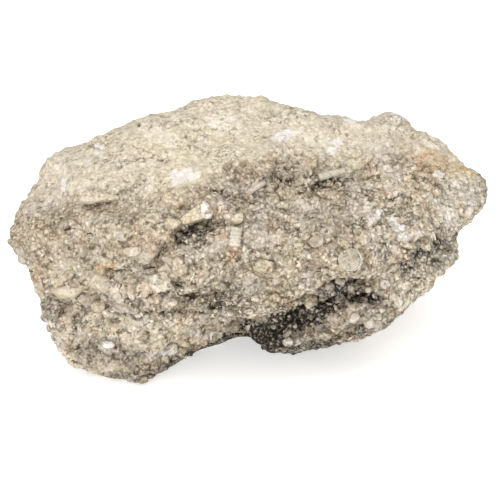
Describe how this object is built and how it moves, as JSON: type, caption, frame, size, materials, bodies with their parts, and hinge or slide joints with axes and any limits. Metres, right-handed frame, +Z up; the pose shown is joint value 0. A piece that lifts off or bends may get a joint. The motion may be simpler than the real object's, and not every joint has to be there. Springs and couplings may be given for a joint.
{
  "type": "phosphate rock",
  "caption": "Hand-sized natural lump of bedded, grainy phosphate rock with broken ledges, an undercut front and a flat face to rest on.",
  "frame": {"origin": "middle of the lump's footprint box, on the surface that it rests on", "axes": "+X along the longest side towards the overhanging nose, +Y from the bedded front face to the back, +Z up"},
  "size_m": [0.13, 0.075, 0.064],
  "materials": {
    "stone": "matte, gritty, dry"
  },
  "bodies": {
    "root": {"phosphate_rock": "stone"}
  },
  "joints": []
}
